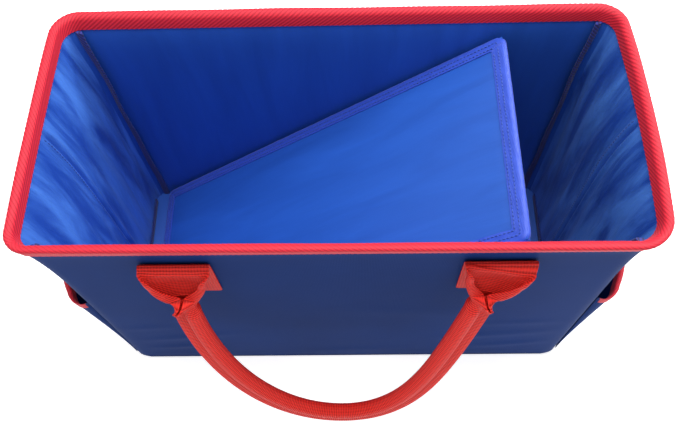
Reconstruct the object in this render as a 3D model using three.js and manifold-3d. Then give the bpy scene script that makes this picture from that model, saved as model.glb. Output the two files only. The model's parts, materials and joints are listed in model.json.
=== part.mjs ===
// Soft-sided cleaning caddy: an open-topped fabric tote with board-stiffened walls, a red bound rim,
// two webbing carrying handles, a pocket on each end and a loose base board inside.
//
// Millimetres, +Z up. The origin is on the floor plane at the middle of the bag. +X runs along the
// length, -Y is the front. The base board is drawn propped at a slant, as it sits when half pulled out.

import * as THREE from 'three';
import { mergeVertices } from 'three/addons/utils/BufferGeometryUtils.js';
import Module from 'manifold-3d';

const wasm = await Module();
wasm.setup();

// Driving dimensions -------------------------------------------------------------------------------

const LENGTH = 432; // over the outer fabric, along X
const WIDTH = 195; // over the outer fabric, along Y
const HEIGHT = 284; // floor to the top of the rim binding
const CORNER_RADIUS = 14; // outside radius of the upright corners

const OUTER_FABRIC = 0.8;
const LINING_FABRIC = 0.6;
const WALL_BOARD = 2.4;
const GAP = 0.3; // air left between layers that lie on each other
const CREASE = 1.5; // slot between the two boards of an end wall, where the bag folds

const TAPE = 0.7; // thickness of every binding tape
const RIM_TAPE_DROP = 10.5; // how far the rim tape comes down each face of the wall
const SEAM_TAPE_WIDTH = 8; // bound seam allowance that stands inside the bag
const SEAM_TAPE_THICKNESS = 1.8;

const WEBBING_WIDTH = 51;
const WEBBING_THICKNESS = 1.6;
const TAB_LENGTH = 51; // part of the webbing that is sewn flat to the panel
const HANDLE_SPREAD = 115; // middle of the bag to the middle of each tab
const HANDLE_FOLD_HEIGHT = 252; // height of the line the handle folds over
const HANDLE_FOLD_OFFSET = 5.5; // from the outer fabric to the fold line
const HANDLE_DROP = 187; // fold line to the middle of the grip, along the handle
const HANDLE_LEAN = THREE.MathUtils.degToRad(20.7); // lean away from upright, at rest
const FLARE_START = 33; // along the webbing from the fold line: flat up to here,
const FLARE_END = 57; // rolled round the core from here
const TWIST_END = 120; // and with its stitched edge turned to the outside of the loop from here
const STITCHED_EDGE = 6; // width of the two webbing edges that are sewn together

const POCKET_HEIGHT = 149; // over the raw fabric, from the bottom seam
const POCKET_BULGE = 29; // how far the middle of the pocket's mouth stands off the end wall
const POCKET_TAPE_DROP = 9;

const BOARD_CORE = 2.4;
const BOARD_CLEARANCE = 3; // all round, between the base board and the wall linings
const BOARD_CORNER_RADIUS = 6;
const BOARD_TAPE_WIDTH = 12;
const BOARD_TILT = THREE.MathUtils.degToRad(37.8);
const BOARD_PIVOT_SETBACK = 3.6; // from the left lining to the line the board tips about
const BOARD_PIVOT_RISE = 25; // from the underside of the board to that line

// Sizes that follow from them ----------------------------------------------------------------------

const STIFFENER_INSET = OUTER_FABRIC + GAP;
const LINING_INSET = STIFFENER_INSET + WALL_BOARD + GAP;
const WALL = LINING_INSET + LINING_FABRIC;
const TAPE_STANDOFF = GAP + TAPE; // a tape's outer face over the face it wraps

const WALL_BASE = OUTER_FABRIC + GAP; // the walls and the floor lining start above the floor panel
const FLOOR_TOP = WALL_BASE + LINING_FABRIC;
const LINING_BASE = FLOOR_TOP + GAP;
const WALL_TOP = HEIGHT - TAPE_STANDOFF;
const RIM_TAPE_BASE = HEIGHT - RIM_TAPE_DROP;

const STRAIGHT_X = LENGTH / 2 - CORNER_RADIUS; // half the flat run of the front and rear walls
const STRAIGHT_Y = WIDTH / 2 - CORNER_RADIUS;

const ARC_STEPS = 3;
const QUARTER = Math.PI / 2;

// Materials ----------------------------------------------------------------------------------------

const cloth = (color, roughness = 0.8) => new THREE.MeshStandardMaterial({ color, roughness, metalness: 0 });

const outerFabric = cloth(0x24417c, 0.6);
const liningFabric = cloth(0x2b59c3, 0.45);
const redTape = cloth(0xd63447, 0.7);
const redWebbing = cloth(0xd22f24, 0.75);
const blueTape = cloth(0x3c3ca8, 0.7);
const greyBoard = cloth(0x9a9488, 0.95);
const foamCore = cloth(0x3a3a3c, 0.9);

// Building blocks ----------------------------------------------------------------------------------

const bag = new THREE.Group();

function addMesh(parent, name, geometry, material) {
  const mesh = new THREE.Mesh(geometry, material);
  mesh.name = name;
  parent.add(mesh);
  return mesh;
}

// A flat plate of any outline, standing on z = base.
function plate(shape, base, top) {
  const geometry = new THREE.ExtrudeGeometry(shape, {
    depth: top - base,
    bevelEnabled: false,
    curveSegments: ARC_STEPS,
  });
  return geometry.translate(0, 0, base);
}

function block(x0, x1, y0, y1, z0, z1) {
  const geometry = new THREE.BoxGeometry(x1 - x0, y1 - y0, z1 - z0);
  return geometry.translate((x0 + x1) / 2, (y0 + y1) / 2, (z0 + z1) / 2);
}

function roundedRectangle(length, width, radius) {
  const x = length / 2 - radius;
  const y = width / 2 - radius;
  const shape = new THREE.Shape();
  shape.absarc(x, y, radius, 0, QUARTER);
  shape.absarc(-x, y, radius, QUARTER, 2 * QUARTER);
  shape.absarc(-x, -y, radius, 2 * QUARTER, 3 * QUARTER);
  shape.absarc(x, -y, radius, 3 * QUARTER, 4 * QUARTER);
  shape.closePath();
  return shape;
}

// The plan of the bag, taken in by `inset` all round.
function bagOutline(inset) {
  return roundedRectangle(LENGTH - 2 * inset, WIDTH - 2 * inset, CORNER_RADIUS - inset);
}

// One wall's layer in plan: the flat run and half of the corner at each end, facing -Y. The raw ends
// meet the next wall's at the middle of the corner, where the seam is.
function wallLayer(straight, stand, inset, thickness) {
  const centre = stand - CORNER_RADIUS;
  const outside = CORNER_RADIUS - inset;
  const inside = outside - thickness;
  const reach = QUARTER / 2 - GAP / (2 * inside);
  const shape = new THREE.Shape();
  shape.absarc(-straight, -centre, outside, -QUARTER - reach, -QUARTER);
  shape.absarc(straight, -centre, outside, -QUARTER, -QUARTER + reach);
  shape.absarc(straight, -centre, inside, -QUARTER + reach, -QUARTER, true);
  shape.absarc(-straight, -centre, inside, -QUARTER, -QUARTER - reach, true);
  shape.closePath();
  return shape;
}

// Closed body through a row of rings. Every ring has the same even number of points, listed so that
// point i and point n-1-i face each other across the section; the two end rings are capped.
function loft(rings) {
  const count = rings[0].length;
  const last = (rings.length - 1) * count;
  const index = [];
  for (let r = 0; r < rings.length - 1; r += 1) {
    for (let i = 0; i < count; i += 1) {
      const a = r * count + i;
      const b = r * count + ((i + 1) % count);
      index.push(a, b, a + count, b, b + count, a + count);
    }
  }
  for (let i = 0; i < count / 2 - 1; i += 1) {
    const j = count - 1 - i;
    index.push(i, j, i + 1, i + 1, j, j - 1);
    index.push(last + i, last + i + 1, last + j, last + i + 1, last + j - 1, last + j);
  }
  const geometry = new THREE.BufferGeometry().setFromPoints(rings.flat());
  geometry.setIndex(index);
  return geometry;
}

function toManifold(geometry) {
  const bare = geometry.clone();
  bare.deleteAttribute('normal');
  bare.deleteAttribute('uv');
  const merged = mergeVertices(bare);
  return new wasm.Manifold(
    new wasm.Mesh({
      numProp: 3,
      vertProperties: new Float32Array(merged.attributes.position.array),
      triVerts: new Uint32Array(merged.index.array),
    }),
  );
}

function cut(body, ...tools) {
  const result = tools.reduce((left, tool) => left.subtract(toManifold(tool)), toManifold(body));
  const { vertProperties, triVerts } = result.getMesh();
  const geometry = new THREE.BufferGeometry();
  geometry.setAttribute('position', new THREE.BufferAttribute(vertProperties, 3));
  geometry.setIndex(new THREE.BufferAttribute(triVerts, 1));
  return geometry;
}

// Walls: outer fabric, board, lining ---------------------------------------------------------------

const walls = [
  { side: 'front', turn: 0, straight: STRAIGHT_X, stand: WIDTH / 2 },
  { side: 'right', turn: QUARTER, straight: STRAIGHT_Y, stand: LENGTH / 2 },
  { side: 'rear', turn: 2 * QUARTER, straight: STRAIGHT_X, stand: WIDTH / 2 },
  { side: 'left', turn: 3 * QUARTER, straight: STRAIGHT_Y, stand: LENGTH / 2 },
];

for (const { side, turn, straight, stand } of walls) {
  const outer = plate(wallLayer(straight, stand, 0, OUTER_FABRIC), WALL_BASE, WALL_TOP);
  addMesh(bag, `${side}_outer_panel`, outer, outerFabric).rotation.z = turn;

  const lining = plate(wallLayer(straight, stand, LINING_INSET, LINING_FABRIC), LINING_BASE, WALL_TOP);
  addMesh(bag, `${side}_lining`, lining, liningFabric).rotation.z = turn;
}

// The front and rear walls hold one board each. The end walls hold two, so that they fold in half.
function wallBoard(from, to, stand) {
  const outside = -stand + STIFFENER_INSET;
  return block(from, to, outside, outside + WALL_BOARD, WALL_BASE, WALL_TOP - GAP);
}

for (const { side, turn, straight, stand } of walls) {
  if (side === 'front' || side === 'rear') {
    addMesh(bag, `${side}_stiffener`, wallBoard(-straight, straight, stand), greyBoard).rotation.z = turn;
    continue;
  }
  const halves = side === 'right' ? ['front', 'rear'] : ['rear', 'front'];
  const first = wallBoard(-straight, -CREASE / 2, stand);
  const second = wallBoard(CREASE / 2, straight, stand);
  addMesh(bag, `${side}_stiffener_${halves[0]}`, first, greyBoard).rotation.z = turn;
  addMesh(bag, `${side}_stiffener_${halves[1]}`, second, greyBoard).rotation.z = turn;
}

// Floor --------------------------------------------------------------------------------------------

addMesh(bag, 'floor_outer_panel', plate(bagOutline(0), 0, OUTER_FABRIC), outerFabric);
addMesh(bag, 'floor_lining', plate(bagOutline(LINING_INSET), WALL_BASE, FLOOR_TOP), liningFabric);

// Bound seams inside the bag -----------------------------------------------------------------------

// The corner seams lie over on the front and rear linings, the floor seams stand against the walls.
const seamFace = WALL + GAP;

for (const front of [true, false]) {
  for (const left of [true, false]) {
    const x = left ? -STRAIGHT_X : STRAIGHT_X - SEAM_TAPE_WIDTH;
    const y = front ? -WIDTH / 2 + seamFace : WIDTH / 2 - seamFace - SEAM_TAPE_THICKNESS;
    const strip = block(
      x,
      x + SEAM_TAPE_WIDTH,
      y,
      y + SEAM_TAPE_THICKNESS,
      LINING_BASE,
      RIM_TAPE_BASE - GAP,
    );
    addMesh(bag, `${front ? 'front' : 'rear'}_${left ? 'left' : 'right'}_corner_binding`, strip, blueTape);
  }
}

for (const { side, turn, straight, stand } of walls) {
  const along = side === 'front' || side === 'rear' ? straight - SEAM_TAPE_WIDTH - GAP : straight;
  const face = -stand + seamFace;
  const strip = block(
    -along,
    along,
    face,
    face + SEAM_TAPE_THICKNESS,
    LINING_BASE,
    LINING_BASE + SEAM_TAPE_WIDTH,
  );
  addMesh(bag, `${side}_floor_seam_binding`, strip, blueTape).rotation.z = turn;
}

// Rim binding: one tape folded over the top edge of all four walls ----------------------------------

const rimBinding = cut(
  plate(bagOutline(-TAPE_STANDOFF), RIM_TAPE_BASE, HEIGHT),
  plate(bagOutline(WALL + TAPE_STANDOFF), RIM_TAPE_BASE - TAPE, HEIGHT + TAPE),
  cut(
    plate(bagOutline(-GAP), RIM_TAPE_BASE - TAPE, HEIGHT - TAPE),
    plate(bagOutline(WALL + GAP), RIM_TAPE_BASE - 2 * TAPE, HEIGHT),
  ),
);
addMesh(bag, 'rim_binding', rimBinding, redTape);

// End pockets --------------------------------------------------------------------------------------

const POCKET_TOP = WALL_BASE + POCKET_HEIGHT;
const POCKET_STEPS_ACROSS = 28;
const POCKET_STEPS_UP = 14;

// Inner face of the right pocket: flat on the end wall at the bottom and at both sides, and
// standing off it most in the middle of the mouth. `across` runs from -1 to 1.
function pocketFace(across, z) {
  const rise = (z - WALL_BASE) / POCKET_HEIGHT;
  return LENGTH / 2 + GAP + POCKET_BULGE * rise ** 2 * (1 - across ** 2);
}

function pocketPoint(across, z, outward) {
  return new THREE.Vector3(pocketFace(across, z) + outward, across * STRAIGHT_Y, z);
}

function sweepAcross(reach, section) {
  const rings = [];
  for (let step = 0; step <= POCKET_STEPS_ACROSS; step += 1) {
    rings.push(section(reach * ((2 * step) / POCKET_STEPS_ACROSS - 1)));
  }
  return loft(rings);
}

const pocketFabric = sweepAcross(1, (across) => {
  const ring = [];
  for (let step = 0; step <= POCKET_STEPS_UP; step += 1) {
    const z = WALL_BASE + (POCKET_HEIGHT * step) / POCKET_STEPS_UP;
    ring.push(pocketPoint(across, z, 0));
    ring.unshift(pocketPoint(across, z, OUTER_FABRIC));
  }
  return ring;
});

// The tape stops short of the side seams, where there is no room for it behind the fabric.
const POCKET_TAPE_ROOM = TAPE_STANDOFF + GAP;
const tapeFoot = POCKET_TOP - POCKET_TAPE_DROP;
const footRise = (tapeFoot - WALL_BASE) / POCKET_HEIGHT;
const pocketTapeReach = Math.sqrt(1 - POCKET_TAPE_ROOM / (POCKET_BULGE * footRise ** 2));

const pocketTape = sweepAcross(pocketTapeReach, (across) => [
  pocketPoint(across, tapeFoot, -TAPE_STANDOFF),
  pocketPoint(across, POCKET_TOP + TAPE_STANDOFF, -TAPE_STANDOFF),
  pocketPoint(across, POCKET_TOP + TAPE_STANDOFF, OUTER_FABRIC + TAPE_STANDOFF),
  pocketPoint(across, tapeFoot, OUTER_FABRIC + TAPE_STANDOFF),
  pocketPoint(across, tapeFoot, OUTER_FABRIC + GAP),
  pocketPoint(across, POCKET_TOP + GAP, OUTER_FABRIC + GAP),
  pocketPoint(across, POCKET_TOP + GAP, -GAP),
  pocketPoint(across, tapeFoot, -GAP),
]);

for (const [side, turn] of [['right', 0], ['left', 2 * QUARTER]]) {
  addMesh(bag, `${side}_pocket`, pocketFabric, outerFabric).rotation.z = turn;
  addMesh(bag, `${side}_pocket_binding`, pocketTape, redTape).rotation.z = turn;
}

// Carrying handles ---------------------------------------------------------------------------------

// The webbing's cross-section where it is rolled: a round tube that closes into two flat edges lying
// on each other. It is walked from the middle of the webbing to one edge, as steps of length and turn.
const ROUND_TURN = THREE.MathUtils.degToRad(150);
const RETURN_TURN = ROUND_TURN - QUARTER;
const EDGE_PITCH = WEBBING_THICKNESS + GAP; // between the middles of the two flat edges
const ROUND_STEPS = 7;
const RETURN_STEPS = 2;

const roundRadius =
  (WEBBING_WIDTH / 2 - STITCHED_EDGE + RETURN_TURN * EDGE_PITCH) / (ROUND_TURN + RETURN_TURN);
const returnRadius = roundRadius - EDGE_PITCH;
const insideFlat = (roundRadius - WEBBING_THICKNESS / 2) * Math.cos(ROUND_TURN / ROUND_STEPS / 2);
const coreRadius = insideFlat - GAP;

const sectionWalk = [
  ...Array(ROUND_STEPS).fill([(roundRadius * ROUND_TURN) / ROUND_STEPS, ROUND_TURN / ROUND_STEPS]),
  ...Array(RETURN_STEPS).fill([(returnRadius * RETURN_TURN) / RETURN_STEPS, -RETURN_TURN / RETURN_STEPS]),
  [STITCHED_EDGE, 0],
];

const rolledDepth =
  roundRadius * (1 - Math.cos(ROUND_TURN)) + returnRadius * Math.sin(RETURN_TURN) + STITCHED_EDGE;

// Section points for any amount of roll, from 0 (flat) to 1 (closed), as [along width, towards edges].
function webbingSection(roll) {
  const half = [];
  let heading = 0;
  let across = 0;
  let deep = 0;
  const mark = () => {
    const nx = (Math.sin(heading) * WEBBING_THICKNESS) / 2;
    const ny = (-Math.cos(heading) * WEBBING_THICKNESS) / 2;
    half.push({ outside: [across + nx, deep + ny], inside: [across - nx, deep - ny] });
  };
  mark();
  for (const [length, turn] of sectionWalk) {
    const bend = turn * roll;
    const chord = bend === 0 ? length : (length * Math.sin(bend / 2)) / (bend / 2);
    across += chord * Math.cos(heading + bend / 2);
    deep += chord * Math.sin(heading + bend / 2);
    heading += bend;
    mark();
  }
  const mirrored = ([x, y]) => [-x, y];
  const outside = [...half.slice(1).map((p) => mirrored(p.outside)).reverse(), ...half.map((p) => p.outside)];
  const inside = [...half.slice(1).map((p) => mirrored(p.inside)).reverse(), ...half.map((p) => p.inside)];
  return [...inside, ...outside.reverse()];
}

// The handle hangs as half an ellipse in its own plane: u along X, v down from the fold line.
const loop = new THREE.EllipseCurve(0, 0, HANDLE_SPREAD, HANDLE_DROP, Math.PI, 0, true);
const loopLength = loop.getLength();
const LOOP_STEPS = 52;

// Place and axes of the section at a distance along the loop, for a handle that hangs straight down
// in the plane y = 0 with the outside of the bag at -Y.
function loopFrame(distance) {
  const t = loop.getUtoTmapping(0, distance);
  const point = loop.getPoint(t);
  const tangent = loop.getTangent(t);
  const fromEnd = Math.min(distance, loopLength - distance);
  const turned = THREE.MathUtils.smoothstep(fromEnd, FLARE_END, TWIST_END) * QUARTER;
  const along = new THREE.Vector3(tangent.x, 0, -tangent.y);
  const away = new THREE.Vector3(0, -1, 0);
  const outwards = new THREE.Vector3().crossVectors(away, along).negate();
  const middle = new THREE.Vector3(point.x, 0, -point.y);
  middle.addScaledVector(outwards, (-rolledDepth / 2) * Math.sin(turned));
  return {
    middle,
    roll: THREE.MathUtils.smoothstep(fromEnd, FLARE_START, FLARE_END),
    width: outwards.clone().multiplyScalar(Math.cos(turned)).addScaledVector(away, -Math.sin(turned)),
    depth: away.clone().multiplyScalar(Math.cos(turned)).addScaledVector(outwards, Math.sin(turned)),
  };
}

function ringAt(frame, section) {
  return section.map(([x, y]) =>
    frame.middle.clone().addScaledVector(frame.width, x).addScaledVector(frame.depth, y),
  );
}

const loopFrames = [];
for (let step = 0; step <= LOOP_STEPS; step += 1) {
  loopFrames.push(loopFrame((loopLength * step) / LOOP_STEPS));
}

const webbingGrip = loft(loopFrames.map((frame) => ringAt(frame, webbingSection(frame.roll))));

const CORE_SIDES = 12;
const coreSection = [];
for (let i = 0; i < CORE_SIDES; i += 1) {
  const angle = (2 * Math.PI * (i + 0.5)) / CORE_SIDES;
  coreSection.push([coreRadius * Math.cos(angle), roundRadius - coreRadius * Math.sin(angle)]);
}
const gripCore = loft(
  loopFrames.filter((frame) => frame.roll === 1).map((frame) => ringAt(frame, coreSection)),
);

const tabFace = -WIDTH / 2 - GAP;
const tabTop = HANDLE_FOLD_HEIGHT - GAP;
const sewnTab = block(
  -WEBBING_WIDTH / 2,
  WEBBING_WIDTH / 2,
  tabFace - WEBBING_THICKNESS,
  tabFace,
  tabTop - TAB_LENGTH,
  tabTop,
);

for (const [side, turn] of [['front', 0], ['rear', 2 * QUARTER]]) {
  const handle = new THREE.Group();
  handle.rotation.z = turn;
  bag.add(handle);

  const leftSign = side === 'front' ? -1 : 1;
  addMesh(handle, `${side}_handle_left_tab`, sewnTab, redWebbing).position.x = leftSign * HANDLE_SPREAD;
  addMesh(handle, `${side}_handle_right_tab`, sewnTab, redWebbing).position.x = -leftSign * HANDLE_SPREAD;

  const swing = new THREE.Group();
  swing.position.set(0, -WIDTH / 2 - HANDLE_FOLD_OFFSET, HANDLE_FOLD_HEIGHT);
  swing.rotation.x = -HANDLE_LEAN;
  handle.add(swing);
  addMesh(swing, `${side}_handle_webbing`, webbingGrip, redWebbing);
  addMesh(swing, `${side}_handle_core`, gripCore, foamCore);
}

// Loose base board ---------------------------------------------------------------------------------

const boardLength = LENGTH - 2 * (WALL + BOARD_CLEARANCE);
const boardWidth = WIDTH - 2 * (WALL + BOARD_CLEARANCE);

function boardOutline(inset) {
  const radius = Math.max(BOARD_CORNER_RADIUS - inset, GAP);
  return roundedRectangle(boardLength - 2 * inset, boardWidth - 2 * inset, radius);
}

// Layers from the underside up, measured from the face of the edge tape.
const lowerCover = TAPE_STANDOFF;
const boardCore = lowerCover + LINING_FABRIC + GAP;
const upperCover = boardCore + BOARD_CORE + GAP;
const boardThickness = upperCover + LINING_FABRIC + TAPE_STANDOFF;

const tip = new THREE.Group();
tip.position.set(-LENGTH / 2 + WALL + BOARD_PIVOT_SETBACK, 0, LINING_BASE + BOARD_PIVOT_RISE);
tip.rotation.y = -BOARD_TILT;
bag.add(tip);

const board = new THREE.Group();
board.position.set(boardLength / 2 + BOARD_CLEARANCE - BOARD_PIVOT_SETBACK, 0, -BOARD_PIVOT_RISE);
tip.add(board);

const sheet = boardOutline(TAPE_STANDOFF);
const upperCoverTop = upperCover + LINING_FABRIC;
addMesh(board, 'base_board_bottom_cover', plate(sheet, lowerCover, lowerCover + LINING_FABRIC), liningFabric);
addMesh(board, 'base_board_core', plate(sheet, boardCore, boardCore + BOARD_CORE), greyBoard);
addMesh(board, 'base_board_top_cover', plate(sheet, upperCover, upperCoverTop), liningFabric);

const boardTape = cut(
  plate(boardOutline(0), 0, boardThickness),
  plate(boardOutline(BOARD_TAPE_WIDTH), -TAPE, boardThickness + TAPE),
  plate(boardOutline(TAPE), TAPE, boardThickness - TAPE),
);
addMesh(board, 'base_board_binding', boardTape, blueTape);

export default bag;
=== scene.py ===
import json
import math

import bmesh
import bpy
import numpy as np
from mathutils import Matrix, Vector


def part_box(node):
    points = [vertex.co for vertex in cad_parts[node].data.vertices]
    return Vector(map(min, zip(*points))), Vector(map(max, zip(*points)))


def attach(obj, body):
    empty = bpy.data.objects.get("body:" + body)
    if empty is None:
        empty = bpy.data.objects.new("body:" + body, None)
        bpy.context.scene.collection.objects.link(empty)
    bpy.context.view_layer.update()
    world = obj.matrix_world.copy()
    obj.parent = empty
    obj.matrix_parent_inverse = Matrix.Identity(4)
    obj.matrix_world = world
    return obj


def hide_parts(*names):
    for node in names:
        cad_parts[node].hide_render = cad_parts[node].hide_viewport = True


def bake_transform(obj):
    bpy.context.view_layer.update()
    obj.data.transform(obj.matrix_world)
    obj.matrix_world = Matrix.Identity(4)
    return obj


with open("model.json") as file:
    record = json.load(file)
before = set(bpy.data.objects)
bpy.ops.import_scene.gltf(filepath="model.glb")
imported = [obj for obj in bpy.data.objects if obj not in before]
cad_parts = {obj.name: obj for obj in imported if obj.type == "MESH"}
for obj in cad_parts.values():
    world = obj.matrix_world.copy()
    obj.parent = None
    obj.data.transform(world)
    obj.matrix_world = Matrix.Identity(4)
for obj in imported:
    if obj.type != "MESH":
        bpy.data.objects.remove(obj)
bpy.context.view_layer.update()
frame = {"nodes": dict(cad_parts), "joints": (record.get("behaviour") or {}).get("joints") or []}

# Camera -------------------------------------------------------------------------------------------
# A 38 mm lens held above the front rim looks down into the open bag, nearly square to its length.

camera = bpy.data.objects.new("camera", bpy.data.cameras.new("camera"))
camera.data.sensor_width = 36
camera.data.lens = 38.13
camera.location = (0.01612, -0.29154, 0.71931)
camera.rotation_euler = (0.458729, 0.029704, 0.000247)
bpy.context.scene.collection.objects.link(camera)
bpy.context.scene.camera = camera
bpy.context.scene.view_settings.view_transform = "Standard"


# Studio -------------------------------------------------------------------------------------------
# White seamless paper under an even white surround, with one large soft light overhead and a
# second high behind the bag's right end, which lights the left-hand lining; the pale sheen streaks on
# the linings are painted into their colour.


def srgb(hex_code):
    """An sRGB hex colour as the linear RGBA that a shader socket takes."""
    values = [int(hex_code[i : i + 2], 16) / 255 for i in (1, 3, 5)]
    linear = [v / 12.92 if v <= 0.04045 else ((v + 0.055) / 1.055) ** 2.4 for v in values]
    return (*linear, 1)


def add_node(material, kind, settings=(), inputs=()):
    """A shader node with its settings and its inputs, each one a value or another node's output."""
    node = material.node_tree.nodes.new(kind)
    for name, value in dict(settings).items():
        setattr(node, name, value)
    for name, value in dict(inputs).items():
        if isinstance(value, bpy.types.NodeSocket):
            material.node_tree.links.new(value, node.inputs[name])
        else:
            node.inputs[name].default_value = value
    return node


def new_material(name):
    """An empty node material."""
    material = bpy.data.materials.new(name)
    material.use_nodes = True
    material.node_tree.nodes.clear()
    return material


# Matt coated paper: no gloss, and bright enough to read as white right up to the bag.
paper = new_material("matt_white_backdrop_paper")
paper_grain = add_node(paper, "ShaderNodeTexNoise", {}, {"Scale": 40, "Detail": 2})
paper_tone = add_node(
    paper,
    "ShaderNodeMix",
    {"data_type": "RGBA"},
    {0: paper_grain.outputs["Fac"], 6: srgb("#F6F6F6"), 7: srgb("#FBFBFB")},
)
paper_shader = add_node(
    paper,
    "ShaderNodeBsdfPrincipled",
    {},
    {
        "Base Color": paper_tone.outputs[2],
        "Roughness": 0.9,
        "Emission Color": srgb("#FFFFFF"),
        "Emission Strength": 0.6,
    },
)
add_node(paper, "ShaderNodeOutputMaterial", {}, {"Surface": paper_shader.outputs[0]})

FLOOR_REACH = 4.0
FLOOR_DROP = 0.0004
floor_mesh = bpy.data.meshes.new("studio_floor")
floor_mesh.from_pydata(
    [(x * FLOOR_REACH, y * FLOOR_REACH, -FLOOR_DROP) for x, y in ((-1, -1), (1, -1), (1, 1), (-1, 1))],
    [],
    [(0, 1, 2, 3)],
)
floor_mesh.materials.append(paper)
studio_floor = bpy.data.objects.new("studio_floor", floor_mesh)
bpy.context.scene.collection.objects.link(studio_floor)

surround = bpy.data.worlds.new("white_surround")
surround.use_nodes = True
surround.node_tree.nodes["Background"].inputs["Color"].default_value = srgb("#FFFFFF")
surround.node_tree.nodes["Background"].inputs["Strength"].default_value = 0.42
bpy.context.scene.world = surround


def soft_light(name, place, aim, size, power):
    """A square softbox that faces a point."""
    light = bpy.data.objects.new(name, bpy.data.lights.new(name, "AREA"))
    light.data.size = size
    light.data.energy = power
    light.location = place
    light.rotation_euler = (Vector(aim) - Vector(place)).to_track_quat("-Z", "Y").to_euler()
    bpy.context.scene.collection.objects.link(light)


soft_light("overhead_softbox", (0.0, 0.12, 1.5), (0, 0, 0.1), 1.0, 24)
soft_light("right_softbox", (0.95, 0.7, 1.05), (-0.2, 0, 0.15), 0.45, 15)


# Outer fabric: four walls and the floor -----------------------------------------------------------
# The shell is polyester canvas, cut as four walls and a floor and sewn inside out, so every seam
# turns inwards: the cloth rolls in at the upright corners and along the bottom edge.

MM = 0.001
QUARTER = math.pi / 2
WALLS = ("front", "right", "rear", "left")  # counter-clockwise from above; each faces a quarter turn on

floor_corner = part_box("floor_outer_panel")[1] / MM
half_length, half_width, canvas_thickness = floor_corner
rim_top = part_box("rim_binding")[1].z / MM
wall_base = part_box("front_outer_panel")[0].z / MM
wall_top = min(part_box("front_outer_panel")[1].z / MM, rim_top - 3.8)

# Radii of the upright corners at the floor and at the rim, where the cloth stands looser. Corner k is
# between WALLS[k] and the next wall.
FOOT_CORNERS = (18, 15, 15, 18)
RIM_CORNERS = (22, 18, 20, 15)
SEAM_ROLL = 1.4  # how far the canvas rolls in at a corner seam
FOOT_ROLL = 3.0  # and along the bottom seam

# How far each corner of the rim stands out from square, as (along X, along Y). The bound rim is longer
# than the walls below it, so it flares just at the top.
RIM_FLARE = {(-1, 1): (-9.5, 10), (1, 1): (8, 7), (1, -1): (8.6, -7.5), (-1, -1): (-9.5, -4.5)}
END_FLARE = 6  # power of the height by which the ends lean out
SIDE_FLARE = 20  # and the long walls, which stay flat behind the handles' tabs
END_BOW = {-1: -1.5, 1: 5}  # how much further out the middle of each end's rim is
END_WAIST = 1.0  # below the rim the end walls draw in by this much,
WAIST_HEIGHT = 225  # most of all at this height,
WAIST_REACH = 45  # and over about this far above and below it


def smooth(low, high, value):
    """0 below low, 1 above high, and an S-curve in between."""
    t = np.clip((value - low) / (high - low), 0, 1)
    return t * t * (3 - 2 * t)


def sag(points):
    """Where points of the square-cut bag, in mm, come to stand in the soft one."""
    x, y, z = np.moveaxis(np.asarray(points, float), -1, 0)
    height = np.clip(z / rim_top, 0, 1.01)
    flare, side_flare = height**END_FLARE, height**SIDE_FLARE
    along, deep = np.clip(x / half_length, -1, 1), np.clip(y / half_width, -1, 1)
    shift_x, shift_y = np.zeros_like(x), np.zeros_like(x)
    for (side_x, side_y), (push_x, push_y) in RIM_FLARE.items():
        near_x, near_y = (1 + side_x * along) / 2, (1 + side_y * deep) / 2
        shift_x += push_x * near_x**3 * near_y * flare
        shift_y += push_y * near_x * near_y**2 * side_flare
    bow = np.where(along > 0, END_BOW[1], END_BOW[-1]) * np.abs(along) ** 3 * (1 - deep**2)
    waist = END_WAIST * np.exp(-(((z - WAIST_HEIGHT) / WAIST_REACH) ** 2)) * along * np.abs(along) ** 3
    return np.stack([x + shift_x + bow * flare - waist, y + shift_y, z], axis=-1)


def wall_face(side, across, z, inset):
    """Points on one wall, in mm. across runs from -1 at its left seam to 1 at its right one, seen
    from outside, round to the middle of each corner; inset is how deep the layer lies."""
    turns = WALLS.index(side)
    half, stand = (half_width, half_length) if turns % 2 else (half_length, half_width)
    across, z, inset = np.broadcast_arrays(*(np.asarray(v, float) for v in (across, z, inset)))
    loosening = np.clip(z / rim_top, 0, 1) ** 3
    left_radius, right_radius = (
        FOOT_CORNERS[k] + (RIM_CORNERS[k] - FOOT_CORNERS[k]) * loosening for k in (turns - 1, turns)
    )
    radius = np.where(across < 0, left_radius, right_radius)
    flat = half - radius
    place = across * (flat + radius * math.pi / 4)
    angle = np.clip((np.abs(place) - flat) / radius, 0, None)
    run = np.sign(place) * (np.minimum(np.abs(place), flat) + (radius - inset) * np.sin(angle))
    out = -(stand - radius) - (radius - inset) * np.cos(angle)
    turn = turns * QUARTER
    x = run * math.cos(turn) - out * math.sin(turn)
    y = run * math.sin(turn) + out * math.cos(turn)
    return np.stack([x, y, z], axis=-1)


def ridge(along, up, start, end, height, width):
    """Height of one soft fold in a panel, running from start to end and dying out at both."""
    run = np.subtract(end, start)
    length = float(np.hypot(*run))
    run = run / length
    forward = (along - start[0]) * run[0] + (up - start[1]) * run[1]
    aside = (up - start[1]) * run[0] - (along - start[0]) * run[1]
    fade = np.sin(math.pi * np.clip(forward / length, 0, 1))
    return height * fade * np.exp(-((aside / width) ** 2))


def grid_faces(rows, columns, first=0):
    """Quads of a grid of points that is listed row by row."""
    index = first + np.arange(rows * columns).reshape(rows, columns)
    quads = np.stack([index[:-1, :-1], index[:-1, 1:], index[1:, 1:], index[1:, :-1]], axis=-1)
    return quads.reshape(-1, 4).tolist()


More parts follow.
